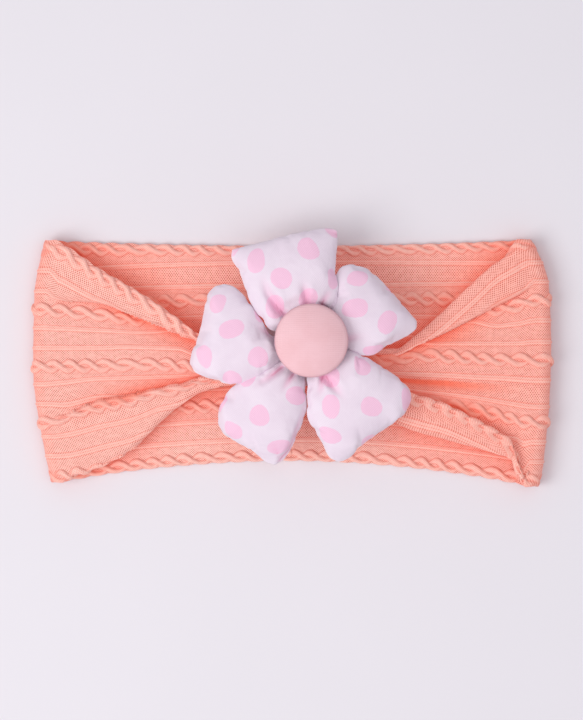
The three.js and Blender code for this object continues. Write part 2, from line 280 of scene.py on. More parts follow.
def knit_material():
    """Nylon knit: a fine diamond openwork, with painted highlight where it stands up and painted shade where
    it tucks in.
    """
    s = Shader("coral_knit", roughness=0.78, Sheen_Weight=0.25, Sheen_Roughness=0.45)
    s.bsdf.inputs["Sheen Tint"].default_value = (1.0, 0.80, 0.74, 1)
    # A faint red glow over all the knit: painted light that lifts its shade, standing in for light passing
    # through the nylon
    s.bsdf.inputs["Emission Color"].default_value = (1.0, 0.14, 0.06, 1)
    s.bsdf.inputs["Emission Strength"].default_value = 0.115
    u, v = s.cloth()
    painted_shading = s.attribute("painted_shading")
    relief = s.attribute("relief")
    wander = s.noise(s.vector(u, v), 0.3, 2.0) - 0.5
    eyelet = TURN / EYELET_PITCH
    crossed = ((u + v) * eyelet + wander * 1.6).sin() * ((u - v) * eyelet + wander * 1.2).sin()
    patchy = s.noise(s.vector(u * 0.5, v), 0.9, 3.0)
    open_work = crossed.abs().between(0.28, 0.78) * (0.6 + 0.4 * patchy.between(0.3, 0.6))
    open_work = open_work * (1 - 0.45 * relief.between(0.15, 0.6))
    on_cable = relief.between(0.15, 0.7)
    plies = ((u * 0.55 + v) * TURN / PLY_PITCH).sin() * on_cable
    streak = s.noise(s.vector(u * 0.05, v * 0.45), 1.0, 3.0)
    # depth is the painted shade, with random streaks in the yarn's tone
    depth = (painted_shading + (streak - 0.5) * 0.4).at_least(0).at_most(1)
    # Painted highlight on the raised cables and ribs, and painted light where the painted shading is below
    # zero
    painted_highlight = (relief.between(0.1, 0.9) * 0.7).at_least((0 - painted_shading).between(0, 0.3))
    highlighted_yarn = s.mix(painted_highlight, (1.0, 0.55, 0.47), (1.0, 0.66, 0.57))
    # The yarn deepens to orange with the painted shade, and the openwork's holes are painted dark: painted
    # shade seen through the knit
    body = s.mix(depth, highlighted_yarn, (1.0, 0.23, 0.13))
    holes = s.mix(depth, (0.48, 0.085, 0.06), (0.62, 0.05, 0.025))
    netted = s.mix(open_work, body, holes)
    ribs = [(v - middle * WIDTH).abs() for middle in RIBS]
    off_rib = ribs[0]
    for rib in ribs[1:]:
        off_rib = off_rib.at_most(rib)
    # Painted highlight along each rib, with painted shade in thin lines beside it and down its middle
    pale = off_rib.between(0.12, 0.28) * (1 - off_rib.between(0.55, 0.72))
    beside = off_rib.between(0.72, 0.86) * (1 - off_rib.between(1.0, 1.2))
    netted = s.mix(pale * 0.5 * (1 - depth), netted, (1.0, 0.62, 0.53))
    netted = s.mix(beside * 0.38 + (1 - off_rib.between(0.05, 0.2)) * 0.2, netted, (0.80, 0.15, 0.10))
    # Painted shade along the low edges of the cables
    outline = relief.between(0.01, 0.12) * (1 - relief.between(0.25, 0.5)) * off_rib.between(2.2, 2.6)
    netted = s.mix(outline * 0.4, netted, (0.78, 0.17, 0.12))
    s.colour(s.mix((plies * 0.5 + 0.5) * on_cable * 0.3, netted, (0.84, 0.28, 0.21)))
    s.rough(0.70 + 0.2 * open_work)
    s.bump((1 - open_work) * 0.7 + plies * 0.35, 0.6, 0.22)
    return s.material


# ---- the knitted band ----

FOLD_RADIUS = 3.5
FOLD_AT = {-1: 81.5, 1: 82.3}  # where the layers start to turn over, from the middle
BACK_Z = 1.0
BACK_HIGHEST = 3.7  # the back layer stays under this, and the front layer over the next
FRONT_LOWEST = 5.2
LAST_SECTION = 81.0
PIECE_ENDS = 57.0  # where the back and front pieces meet the ones round the folds
FOLD_LENGTH = 58.0
SEAM_AT = 12.0
WIDTH = 80.0  # of the flat knit
HALF_THICK = 0.34
STEP = 0.34
ROWS_ACROSS = int(round(88 / STEP)) + 1

CABLES = [0.026, 0.265, 0.5, 0.735, 0.968]
RIBS = [0.110, 0.192, 0.345, 0.427, 0.58, 0.662, 0.815, 0.890]
STRAND = 1.05  # half width of a cable's strand
SWING = 1.35  # how far the strands swing from the cable's middle
HALF_TWISTS = 28  # along the back layer, from fold to fold

# How far the fold line stands in from its middle, at shares of the width.
BOW = {
    -1: ([0, 0.21, 0.5, 0.8, 1], [6.0, 2.7, 0.0, 0.4, 3.8]),
    1: ([0, 0.06, 0.15, 0.3, 0.55, 0.8, 1], [4.2, 3.0, 2.2, 0.9, 0.0, 0.8, 6.8]),
}
# How far across the back layer's middle lies, at shares of the width.
BACK_ACROSS = (
    [0, 0.11, 0.192, 0.5, 0.735, 0.815, 0.89, 1],
    [-32.3, -25.2, -18.4, 3.0, 21.6, 26.0, 33.8, 39.3],
)

# The front layer cut across at distances from the middle. Each point is a share of the flat width, how far
# across it lies and how far above the layer's own height. Where the distance across turns back, the knit is
# pleated.
LEFT_SECTIONS = {
    81: [
        (0, -39.2, 0), (0.015, -38.2, 0), (0.04, -36.2, 0), (0.192, -24.0, 0), (0.28, -18.4, 0),
        (0.295, -17.2, 0), (0.31, -16.0, 0), (0.427, -6.7, 0), (0.5, -0.9, 0), (0.58, 5.3, 0),
        (0.765, 20.2, 0), (0.775, 20.9, 0), (0.785, 21.6, 0), (0.978, 39.0, 0), (1, 41.0, 0),
    ],
    76: [
        (0, -35.8, -1.4), (0.02, -36.8, -0.8), (0.05, -34.8, 0.2), (0.192, -23.4, 0), (0.28, -17.1, 0.5),
        (0.295, -17.4, -0.1), (0.31, -16.4, -0.2), (0.427, -6.2, 0), (0.5, -0.8, 0), (0.58, 5.3, 0),
        (0.77, 20.2, -0.3), (0.785, 21.4, 0), (0.8, 20.9, 0.5), (0.975, 36.2, 0.4), (1, 38.4, 0.3),
    ],
    64: [
        (0, -30.4, -1.8), (0.04, -32.4, -1.0), (0.065, -30.9, 0.1), (0.192, -20.6, 0.3),
        (0.302, -12.3, 1.3), (0.318, -14.0, -0.5), (0.335, -12.1, -0.6), (0.427, -4.9, 0), (0.5, -0.6, 0),
        (0.58, 5.3, 0), (0.781, 19.7, -0.7), (0.822, 23.0, -0.2), (0.864, 20.0, 1.2), (0.975, 29.2, 1.1),
        (1, 31.0, 1.1),
    ],
    54: [
        (0, -23.5, -2.0), (0.069, -27.7, -1.0), (0.094, -26.2, 0.2), (0.192, -18.6, 0.5),
        (0.30, -10.6, 1.7), (0.325, -13.2, -0.7), (0.352, -10.3, -0.9), (0.427, -4.6, 0), (0.5, -0.3, 0),
        (0.58, 5.6, 0), (0.7575, 16.3, -0.9), (0.824, 21.6, -0.4), (0.89, 16.7, 1.5), (0.975, 23.9, 1.3),
        (1, 25.6, 1.2),
    ],
    45: [
        (0, -14.5, -2.2), (0.125, -19.9, -1.0), (0.15, -18.4, 0.2), (0.2, -14.6, 0.6), (0.297, -8.3, 1.7),
        (0.337, -12.4, -0.8), (0.379, -7.9, -1.1), (0.427, -4.3, -0.1), (0.5, -0.1, 0.1), (0.58, 5.3, 0),
        (0.7, 12.9, -1.1), (0.81, 19.4, -0.5), (0.915, 13.3, 1.6), (0.97, 18.1, 1.5), (1, 20.2, 1.2),
    ],
    37: [
        (0, -9.0, -2.2), (0.184, -13.4, -0.9), (0.205, -12.0, 0.3), (0.235, -9.8, 0.7), (0.293, -6.9, 1.7),
        (0.340, -11.0, -0.8), (0.391, -6.7, -1.3), (0.427, -4.0, -0.4), (0.5, -0.6, 0.2), (0.58, 5.0, -0.3),
        (0.6425, 9.6, -1.3), (0.79, 14.0, -0.5), (0.943, 10.1, 1.6), (0.975, 13.0, 1.3), (1, 14.7, 0.9),
    ],
    30: [
        (0, -5.5, -2.0), (0.2, -8.9, -0.9), (0.215, -8.0, 0.3), (0.235, -6.6, 0.8), (0.29, -4.9, 1.6),
        (0.34, -7.4, -0.6), (0.395, -4.6, -1.2), (0.43, -3.2, -0.6), (0.5, -1.4, 0.3), (0.57, 2.0, 0.2),
        (0.63, 7.0, -1.0), (0.79, 9.3, -0.4), (0.95, 8.3, 1.4), (0.975, 9.0, 1.2), (1, 9.9, 0.8),
    ],
    18: [
        (0, -4.0, -1.6), (0.2, -6.4, -0.6), (0.215, -5.8, 0.3), (0.235, -4.9, 0.7), (0.255, -3.8, 1.0),
        (0.325, -5.4, -0.4), (0.395, -3.0, -0.6), (0.43, -1.6, -0.2), (0.5, 0.6, 0.3), (0.57, 3.2, 0.2),
        (0.63, 7.2, -0.5), (0.79, 9.6, -0.3), (0.95, 8.6, 0.8), (0.975, 9.6, 0.8), (1, 10.4, 0.4),
    ],
    0: [
        (0, -3.6, -1.0), (0.2, -5.6, -0.4), (0.215, -5.2, 0.2), (0.235, -4.2, 0.4), (0.255, -3.0, 0.6),
        (0.325, -4.2, -0.3), (0.395, -1.6, -0.4), (0.43, 0.2, -0.1), (0.5, 2.4, 0.2), (0.57, 4.8, 0.1),
        (0.63, 8.0, -0.3), (0.79, 10.4, -0.2), (0.95, 9.4, 0.5), (0.975, 10.4, 0.5), (1, 11.0, 0.2),
    ],
}
RIGHT_SECTIONS = {
    81: [
        (0, -40.6, 0), (0.03, -38.2, 0), (0.06, -36.0, 0), (0.16, -28.6, 0), (0.265, -19.4, 0),
        (0.345, -14.2, 0), (0.427, -5.4, 0), (0.5, 1.1, 0), (0.58, 7.2, 0), (0.772, 24.0, 0),
        (0.786, 25.0, 0), (0.8, 26.0, 0), (0.897, 34.0, 0), (0.955, 38.6, 0), (0.97, 39.6, 0), (1, 41.2, 0),
    ],
    78.5: [
        (0, -33.0, 1.4), (0.035, -36.6, 1.0), (0.065, -38.8, 0.2), (0.16, -29.6, -0.6),
        (0.265, -19.3, -0.2), (0.345, -14.0, 0), (0.427, -5.3, 0), (0.5, 1.15, 0), (0.58, 7.1, 0),
        (0.77, 23.4, -0.1), (0.785, 24.6, 0), (0.8, 24.6, 0.2), (0.897, 33.0, 0.1), (0.935, 36.2, 0.1),
        (0.95, 37.6, -0.1), (1, 38.6, -1.2),
    ],
    76: [
        (0, -25.2, 2.2), (0.035, -29.0, 1.6), (0.075, -31.4, 0.3), (0.17, -26.4, -1.0),
        (0.265, -18.9, -0.6), (0.345, -13.6, -0.1), (0.427, -5.1, 0), (0.5, 1.2, 0), (0.58, 6.8, 0),
        (0.772, 22.7, -0.5), (0.786, 23.9, -0.2), (0.8, 23.0, 0.8), (0.897, 31.6, 0.4), (0.93, 34.6, 0.2),
        (0.945, 35.8, -0.3), (1, 34.6, -2.0),
    ],
    70: [
        (0, -21.4, 2.6), (0.06, -26.0, 1.9), (0.11, -29.4, 0.3), (0.19, -24.4, -1.2), (0.265, -17.2, -0.9),
        (0.345, -12.6, -0.3), (0.427, -4.7, 0), (0.5, 1.25, 0.1), (0.58, 6.7, 0), (0.756, 19.7, -0.8),
        (0.778, 21.4, -0.4), (0.8, 20.0, 1.1), (0.897, 28.4, 0.5), (0.93, 31.4, 0.3), (0.945, 32.4, -0.4),
        (1, 28.6, -2.2),
    ],
    60: [
        (0, -16.6, 2.8), (0.07, -21.8, 2.2), (0.135, -26.8, 0.4), (0.2, -22.4, -1.3), (0.265, -15.2, -1.1),
        (0.345, -11.0, -0.5), (0.427, -4.3, 0), (0.5, 1.7, 0.2), (0.58, 6.7, 0.1), (0.672, 14.9, -0.9),
        (0.75, 20.2, -0.6), (0.83, 14.8, 1.4), (0.897, 19.8, 0.7), (0.93, 23.2, 0.3), (0.945, 24.5, -0.5),
        (1, 20.6, -2.2),
    ],
    50: [
        (0, -12.2, 2.9), (0.075, -18.2, 2.3), (0.15, -24.2, 0.5), (0.21, -19.6, -1.3), (0.265, -13.4, -1.2),
        (0.345, -9.8, -0.7), (0.427, -3.7, -0.1), (0.5, 2.3, 0.3), (0.58, 6.6, 0.1), (0.626, 10.0, -1.0),
        (0.75, 14.6, -0.6), (0.872, 9.8, 1.5), (0.905, 12.4, 1.0), (0.93, 14.6, 0.4), (0.945, 15.7, -0.4),
        (1, 12.8, -1.8),
    ],
    42: [
        (0, -9.9, 2.8), (0.075, -15.8, 2.2), (0.145, -22.1, 0.5), (0.21, -17.4, -1.2), (0.265, -11.6, -1.2),
        (0.345, -8.9, -0.7), (0.427, -3.4, -0.2), (0.5, 2.6, 0.3), (0.55, 4.6, 0.1), (0.58, 6.3, -0.9),
        (0.75, 8.4, -0.5), (0.9, 6.6, 1.4), (0.912, 7.4, 1.1), (0.922, 8.4, 0.5), (0.93, 9.2, -0.2),
        (1, 7.6, -1.4),
    ],
    34: [
        (0, -7.8, 2.4), (0.07, -13.2, 1.9), (0.14, -18.6, 0.5), (0.21, -14.0, -1.0), (0.265, -9.6, -1.1),
        (0.345, -7.4, -0.7), (0.427, -3.0, -0.3), (0.49, 0.6, 0.2), (0.52, 2.4, 0.1), (0.55, 3.4, -0.7),
        (0.75, 4.2, -0.4), (0.9, 3.2, 1.1), (0.91, 3.4, 1.0), (0.922, 3.8, 0.6), (0.93, 4.2, 0.1),
        (1, 3.4, -0.8),
    ],
    28: [
        (0, -5.6, 1.9), (0.07, -9.4, 1.5), (0.14, -12.6, 0.5), (0.21, -9.6, -0.7), (0.265, -7.2, -0.8),
        (0.345, -5.6, -0.5), (0.427, -2.4, -0.2), (0.49, 0.6, 0.2), (0.52, 2.2, 0.1), (0.55, 3.2, -0.4),
        (0.75, 4.4, -0.3), (0.9, 3.6, 0.8), (0.91, 4.0, 0.7), (0.922, 4.6, 0.4), (0.93, 5.0, 0.1),
        (1, 4.2, -0.5),
    ],
    20: [
        (0, -3.2, 1.0), (0.07, -5.4, 0.8), (0.14, -7.2, 0.3), (0.21, -5.6, -0.4), (0.265, -4.2, -0.4),
        (0.345, -2.8, -0.3), (0.427, -0.6, -0.1), (0.49, 2.0, 0.1), (0.52, 3.2, 0.1), (0.55, 4.4, -0.3),
        (0.75, 6.4, -0.2), (0.9, 6.0, 0.5), (0.91, 6.4, 0.4), (0.922, 7.0, 0.3), (0.93, 7.6, 0.1),
        (1, 7.0, -0.3),
    ],
    12: [
        (0, -2.8, 0.5), (0.07, -4.4, 0.4), (0.14, -5.6, 0.1), (0.21, -4.2, -0.3), (0.265, -2.8, -0.3),
        (0.345, -1.2, -0.2), (0.427, 1.2, 0), (0.49, 3.4, 0.1), (0.52, 4.8, 0.1), (0.55, 6.0, -0.2),
        (0.75, 9.0, -0.2), (0.9, 9.0, 0.3), (0.91, 9.4, 0.3), (0.922, 10.2, 0.2), (0.93, 10.8, 0),
        (1, 10.2, -0.2),
    ],
}
LEFT_SECTIONS[-12] = LEFT_SECTIONS[0]  # the left side runs on unchanged to the seam
SECTIONS = {-1: LEFT_SECTIONS, 1: RIGHT_SECTIONS}

# Painted shade beside the pleats: the point of a section where a band of it starts, how far past it, the way
# it runs, how wide it is, and how far it reaches back under the pleat.
PLEAT_SHADE = {
    -1: [(6, 0.0, 1, 3.6, 9.0), (10, 0.0, -1, 4.6, 9.0)],
    1: [(9, 0.0, -1, 4.6, 9.0), (4, 0.0, 1, 3.2, 9.0), (6, 3.0, -1, 2.0, 2.0)],
}


def front_height(distance):
    """Height of the middle of the front layer's knit."""
    return curve_through([-12, 0, 14, 30, 44, 60, 81], [11.4, 11.4, 11.0, 8.9, 8.0, 7.7, 8.0], distance)


def front_surface(side, distances, across):
    """Where the front layer lies across, how far above its own height, and how much painted shade lies beside
    its pleats.
    """
    stations = sorted(SECTIONS[side])
    points = curve_through(stations, np.array([SECTIONS[side][k] for k in stations]), distances)
    y, lift, pleat_shade = (np.zeros((len(distances), len(across))) for _ in range(3))
    for i, section in enumerate(points):
        placed = curve_through(section[:, 0], section[:, 1:], across)
        y[i], lift[i] = placed[:, 0], placed[:, 1]
        # the painted shade beside the pleats grows towards the flower
        strong = smoothstep(80, 46, distances[i])
        for start, past, way, reach, behind in PLEAT_SHADE[side]:
            away = (across - section[start, 0]) * way * WIDTH - past
            fading, hidden = np.exp(-np.maximum(away, 0) / reach), smoothstep(-behind, -behind / 2, away)
            pleat_shade[i] = np.maximum(pleat_shade[i], np.where(away > 0, fading, hidden) * strong)
        if side > 0:
            lift[i] -= 0.9 * np.exp(-(((across - 0.386) / 0.016) ** 2)) * smoothstep(72, 52, distances[i])
    return y, lift, pleat_shade


def knit_relief(phase, turning_rate, across, share_of_width, lean, face):
    """Height of the cables and ribs over the plain knit. A strand on top of one face lies under on the other.

    lean is the cosine of the angle between the rows and the columns. Cables and ribs keep their own shape
    where the knit is drawn aslant."""
    relief = np.zeros((len(phase), len(across)))
    size = np.clip(share_of_width, 0.55, 1.1)
    lean = np.clip(lean, -0.8, 0.8)
    straight = np.sqrt(1 - lean**2)
    for number, middle in enumerate(CABLES):
        off = (across - middle)[None, :] * WIDTH * size
        here = phase + turning_rate * off * lean
        off = off * straight
        turn = here + 0.55 * np.sin(here * 0.31 + 2.1 * number) + 1.3 * number
        swing_size = SWING * (1 + 0.12 * np.sin(here * 0.43 + 1.7 * number))
        for strand in (0, math.pi):
            cross = off - swing_size * np.cos(turn + strand)
            inside = np.clip(1 - (cross / STRAND) ** 2, 0, 1)
            over = 0.46 * face * np.sin(turn + strand) + 0.86 * np.sqrt(inside)
            relief = np.maximum(relief, np.where(inside > 0, over, 0))
    for middle in RIBS:
        off = np.abs(across - middle)[None, :] * WIDTH * size * straight
        rib = 0.42 * np.exp(-((off / 0.55) ** 2)) + 0.1 * np.exp(-(((off - 1.4) / 0.4) ** 2))
        relief = np.maximum(relief, rib)
    return relief * np.clip(share_of_width, 0.25, 1) ** 0.5


def grid_normals(points):
    along, crossways = np.gradient(points, axis=0), np.gradient(points, axis=1)
    return unit(np.cross(along, crossways))


def band_side(side):
    """Both faces of half the band, from the middle of the back, round the fold, to the closing seam."""
    fold_at = FOLD_AT[side]
    across = np.linspace(0, 1, ROWS_ACROSS)
    end = -SEAM_AT if side < 0 else SEAM_AT
    back = np.linspace(0, fold_at, int(fold_at / STEP))
    front = np.linspace(fold_at, end, int((fold_at - end) / STEP))
    turning = np.linspace(0, math.pi, int(math.pi * FOLD_RADIUS / STEP) + 1)[1:-1]
    bow = curve_through(*BOW[side], across)

    drawn = np.minimum(front, LAST_SECTION)
    front_y, lifts, pleat_shade = front_surface(side, drawn, across)
    at_fold = front_y[0]
    towards_fold = (back / fold_at)[:, None]
    flat_y = curve_through(*BACK_ACROSS, across)
    back_y = flat_y + (at_fold - flat_y) * towards_fold**1.8
    back_x = back[:, None] - bow * towards_fold**3
    ripple = 0.25 * np.sin(back[:, None] * 0.19 + 5 * across) * np.sin(across * 11 + 1)
    slump = 0.9 * np.exp(-((across - 0.62) / 0.2) ** 2) * np.exp(-(((back[:, None] - 45) / 22) ** 2))
    back_points = np.stack([back_x, back_y, BACK_Z + 0.35 + ripple * (1 - towards_fold) + slump], -1)

    turn_x = fold_at + FOLD_RADIUS * np.sin(turning)[:, None] - bow
    start_z, end_z = back_points[-1, :, 2], front_height(np.array([LAST_SECTION]))
    level = (1 - np.cos(turning))[:, None] / 2
    turn_z = start_z + (end_z - start_z) * level
    turn_points = np.stack([turn_x, at_fold + 0 * turn_z, turn_z], -1)

    gathered = smoothstep(36, 16, front)[:, None]
    pleats = 1.0 * np.sin(TURN * 6.5 * across + 0.6 * np.sin(front * 0.3)[:, None]) * gathered
    soft = 0.3 * np.sin(front[:, None] * 0.16 + 6 * across) * np.sin(across * 7 + 2)
    soft = soft * smoothstep(LAST_SECTION, 64, front)[:, None]
    front_x = front[:, None] - bow * np.maximum(front / fold_at, 0)[:, None] ** 3
    front_z = front_height(drawn)[:, None] + lifts + soft + pleats
    front_points = np.stack([front_x, front_y, front_z], -1)

    points = np.concatenate([back_points, turn_points, front_points])
    zone = np.concatenate([np.zeros(len(back)), turning / math.pi, np.ones(len(front))])[:, None]

    steps = np.linalg.norm(np.diff(points, axis=0), axis=2)
    travelled = np.concatenate([np.zeros((1, len(across))), np.cumsum(steps, axis=0)])
    fold_column = len(back) + len(turning) // 2
    turning_rate = -side * math.pi * HALF_TWISTS / (2 * travelled[fold_column])
    phase = turning_rate * (travelled - travelled[fold_column])

    crossways = np.gradient(points, axis=1)
    out = -grid_normals(points)
    local_width = np.linalg.norm(crossways, axis=2) / (WIDTH / (len(across) - 1))
    lean = np.sum(unit(np.gradient(points, axis=0)) * unit(crossways), axis=2)

    # The cables along the edges thin out at the fold's corners, and the right one where it is rolled under.
    from_edge = np.minimum(across, 1 - across)
    from_fold = travelled - travelled[fold_column]
    thin = 1 - 0.75 * (np.exp(-((from_fold / 6.0) ** 2)) * smoothstep(0.075, 0.05, from_edge))
    if side > 0:
        rolled = smoothstep(82, 74, front)[:, None] * smoothstep(0.905, 0.925, across)
        thin[-len(front) :] *= 1 - 0.85 * rolled
    outer_relief, inner_relief = (
        knit_relief(phase, turning_rate, across, local_width, lean, face) * thin for face in (1, -1)
    )

    scallop = 0.55 * (1 - np.abs(np.cos(phase)))
    near_low, near_high = np.clip(1 - across / 0.03, 0, 1), np.clip(1 - (1 - across) / 0.03, 0, 1)
    pull = scallop * (near_low - near_high) * np.clip(local_width, 0.3, 1) * thin
    points = points + unit(crossways) * pull[..., None]

    edge_thin = 1 - 0.55 * np.clip(1 - from_edge / 0.012, 0, 1) ** 2
    outer = points + out * ((HALF_THICK + outer_relief * (0.55 + 0.45 * zone)) * edge_thin)[..., None]
    inner = points - out * ((HALF_THICK + inner_relief * (1 - 0.1 * zone)) * edge_thin)[..., None]
    uv = np.stack([travelled, np.broadcast_to(across * WIDTH, travelled.shape)], -1)
    for face in (outer, inner):  # the layers stay clear of each other
        face[-len(front) :, :, 2] = np.maximum(face[-len(front) :, :, 2], FRONT_LOWEST)
        face[: len(back), :, 2] = np.minimum(face[: len(back), :, 2], BACK_HIGHEST)

    # Painted shade on the back layer: deepest beside the front layer's edges, where the front layer shades
    # it, and lighter towards its lower edge.
    tops = np.interp(back, front[::-1], front_y.max(axis=1)[::-1])[:, None]
    bottoms = np.interp(back, front[::-1], front_y.min(axis=1)[::-1])[:, None]
    outside = np.maximum(back_y - tops, bottoms - back_y)
    # Base painted shade for each side; the left front is painted lighter than the right, as the light falls
    # from the left
    plain_back, plain_front = (0.12, 0.1) if side > 0 else (0.08, -0.13)
    back_shade = plain_back + 0.56 * np.exp(-np.maximum(outside, 0) / 5.5) - 0.14 * smoothstep(6, 22, outside)
    back_shade = back_shade - 0.3 * smoothstep(0.38, 0.12, across)
    fold_shade = np.linspace(back_shade[-1], pleat_shade[0] * 0.85, len(turning) + 2)[1:-1]
    # depth is the painted shade along the whole strip: back, fold and front
    depth = np.concatenate([back_shade, fold_shade, 0.9 * pleat_shade + plain_front])
    for array in (outer, inner):
        array[..., 0] *= side
    cuts = (
        int(np.argmin(np.abs(back - PIECE_ENDS))),
        len(back) + len(turning) + int(np.argmin(np.abs(front - PIECE_ENDS))),
    )
    return outer, inner, uv, depth, (outer_relief, inner_relief), cuts


def build_band():
    pieces = {}
    material = knit_material()
    for side, word in ((-1, "left"), (1, "right")):
        outer, inner, uv, depth, relief, (first, second) = band_side(side)
        outer_normals, inner_normals = -side * grid_normals(outer), side * grid_normals(inner)
        spans = {"back": (0, first + 1), "fold": (first, second + 1), "front": (second, len(outer))}
        for part, (start, stop) in spans.items():
            cut = slice(start, stop)
            name = f"knit_{part}_{word}"
            normals = np.concatenate([outer_normals[cut].reshape(-1, 3), inner_normals[cut].reshape(-1, 3)])
            piece = closed_sheet(name, outer[cut], inner[cut], uv[cut], depth[cut], normals, flip=side > 0)
            paint(piece, "relief", np.concatenate([face[cut].ravel() for face in relief]))
            dress(piece, material)
            pieces[part, word] = piece
    return pieces


band = build_band()
for side, word, base in ((-1, "left", "flower_base"), (1, "right", "seam_side")):
    back, fold, front = (band[part, word] for part in ("back", "fold", "front"))
    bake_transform(back)
    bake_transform(fold)
    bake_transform(front)
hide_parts("back_left_panel", "back_middle_panel")
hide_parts("back_right_panel")
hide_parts("front_left_panel")
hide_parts("front_right_panel")
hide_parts("front_middle_left_panel")
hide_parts("front_middle_right_panel")
for (part, word), piece in band.items():
    to_seam = SEAM_AT if word == "left" else -SEAM_AT
    lengths = {"back": PIECE_ENDS, "fold": FOLD_LENGTH, "front": PIECE_ENDS + to_seam}
    lengths[part] * MM


# ---- the stuffed petals ----

FLOWER = np.array([6.6, 7.6])  # the flower's middle on the band
NECK_Z = 18.3
FELT_TOP_Z = 15.9
BUTTON_Z = 25.7
NECK_REACH = 8.4
HEART_REACH = 24  # the middle of a petal, from the flower's middle
SEWN = (3.8, 0.0)  # half the neck's width as it is sewn, and how much the outline grows
CUT = (9.0, 0.06)  # the same as it is cut
DOT_PITCH = 12.3  # of the print on the petals' undersides
GRID = 37  # points along and across a petal
SIM_SCALE = 0.05  # metres of the simulated petal for each real millimetre
SIM_FRAMES = 30

# Seen from above, in millimetres from the flower's middle. "near" and "far" are the two sides going out from
# the neck, to the first and the last point of "outer", the petal's outer edge. A crease is a line with its
# depth and half width.
PETALS = {
    "top": {
        "axis": 107,
        "lift": 1.0,
        "near": [(-12.2, 3.2), (-16.3, 7.3), (-19.4, 11.5), (-21.7, 17.6), (-23.7, 22.8), (-26.2, 27.4)],
        "outer": [(-26.0, 29.8), (-15.8, 32.2), (-8.6, 34.2), (-0.3, 36.0), (5.4, 36.9), (8.6, 36.0)],
        "far": [(6.4, 10.0), (8.6, 14.0), (8.8, 17.6), (7.9, 22.8), (8.2, 28.0), (8.7, 33.0)],
        "dots": [
            (-18.1, 25.7), (-1.2, 29.8), (-9.8, 20.2), (-11.9, 11.2), (7.2, 20.2), (-25.6, 30.4),
            (-0.9, 13.2), (7.2, 36.6),
        ],
        "creases": [
            ([(-16.0, 20.4), (-13.8, 15.0), (-10.6, 10.4), (-8.0, 7.6)], 3.4, 1.2),
            ([(-2.6, 18.6), (-1.9, 15.4), (-1.2, 11.0)], 2.8, 1.1),
            ([(6.8, 16.6), (4.4, 13.6), (3.0, 11.0)], 1.0, 1.0),
            ([(3.8, 36.7), (6.2, 35.0), (8.2, 34.7)], 0.6, 0.45),
        ],
    },
    "right": {
        "axis": 27,
        "lift": 0.0,
        "near": [(6.4, 10.4), (7.6, 15.0), (7.6, 19.0), (8.4, 22.6), (10.4, 24.4)],
        "outer": [(13.8, 25.0), (17.4, 23.9), (21.8, 20.7), (27.0, 15.1), (31.6, 9.7), (34.5, 6.4)],
        "far": [(11.8, -3.0), (18.7, -5.0), (25.4, -1.4), (32.4, 2.1), (34.4, 4.0)],
        "dots": [(15.3, 20.6), (14.0, 10.4), (24.9, 6.4), (20.6, -3.6), (27.2, 17.6)],
        "creases": [([(16.5, 1.6), (12.0, 0.6), (9.0, 0.6)], 0.9, 1.2)],
    },
    "low_right": {
        "axis": -52.5,
        "lift": 0.35,
        "near": [(12.0, -2.6), (16.7, -4.8), (22.9, -8.4), (29.4, -13.0), (32.2, -16.4)],
        "outer": [
            (32.7, -19.0), (30.8, -23.2), (27.0, -26.7), (20.3, -31.3), (15.7, -34.8), (12.0, -38.6),
            (9.0, -39.6),
        ],
        "far": [(-1.4, -12.2), (-1.3, -18.4), (-1.4, -24.2), (1.2, -29.3), (3.8, -33.9), (5.8, -38.0)],
        "dots": [
            (16.4, -8.1), (6.4, -21.0), (19.3, -21.5), (31.2, -19.4), (5.3, -31.0), (18.6, -32.6),
            (6.0, -11.4),
        ],
        "creases": [
            ([(10.4, -18.4), (7.2, -14.8), (4.6, -11.6)], 2.2, 1.1),
            ([(2.2, -17.4), (3.2, -14.4), (3.6, -11.2)], 1.4, 0.9),
        ],
    },
    "low_left": {
        "axis": -120.5,
        "lift": -0.5,
        "near": [(-2.0, -12.0), (-1.8, -16.4), (-1.4, -21.0), (-2.6, -25.7), (-5.5, -32.9), (-8.6, -38.4)],
        "outer": [
            (-11.6, -40.6), (-14.4, -39.9), (-18.9, -36.2), (-24.6, -32.9), (-28.4, -30.5),
            (-30.4, -27.0),
        ],
        "far": [(-10.2, -6.8), (-15.4, -9.6), (-21.4, -12.4), (-26.4, -15.6), (-28.7, -19.4), (-30.2, -23.1)],
        "dots": [
            (-16.5, -24.4), (-4.5, -17.9), (-25.8, -30.0), (-10.4, -34.6), (-29.2, -20.4), (-20.6, -12.4),
        ],
        "creases": [
            ([(-18.6, -14.6), (-13.4, -11.8), (-9.4, -8.6)], 1.5, 1.0),
            ([(-9.4, -16.4), (-7.6, -13.4), (-5.8, -10.8)], 0.9, 0.9),
            (
                [(-2.2, -19.8), (-2.4, -23.0), (-4.5, -28.2), (-6.0, -32.4), (-7.3, -35.5), (-10.4, -39.1)],
                0.8,
                0.55,
            ),
            ([(-12.6, -33.8), (-10.4, -37.6)], 0.6, 0.45),
        ],
    },
    "left": {
        "axis": -181.5,
        "lift": 0.4,
        "near": [
            (-10.4, -6.8), (-15.8, -10.6), (-21.0, -13.6), (-26.1, -14.2), (-31.3, -12.8), (-37.3, -10.7),
        ],
        "outer": [
            (-39.7, -7.6), (-39.2, -4.8), (-37.5, -0.4), (-35.9, 5.3), (-34.9, 10.4), (-33.6, 15.4),
            (-31.0, 18.0),
        ],
        "far": [(-12.4, 1.4), (-16.3, 7.0), (-19.6, 11.6), (-22.6, 15.6), (-25.4, 17.8), (-28.2, 18.5)],
        "dots": [(-31.0, 12.0), (-26.1, 3.7), (-35.2, -4.5), (-17.6, -5.3), (-25.6, -12.9), (-17.0, 8.6)],
        "creases": [([(-17.2, 4.6), (-14.4, 2.8), (-11.0, 1.0)], 1.7, 1.0)],
    },
}


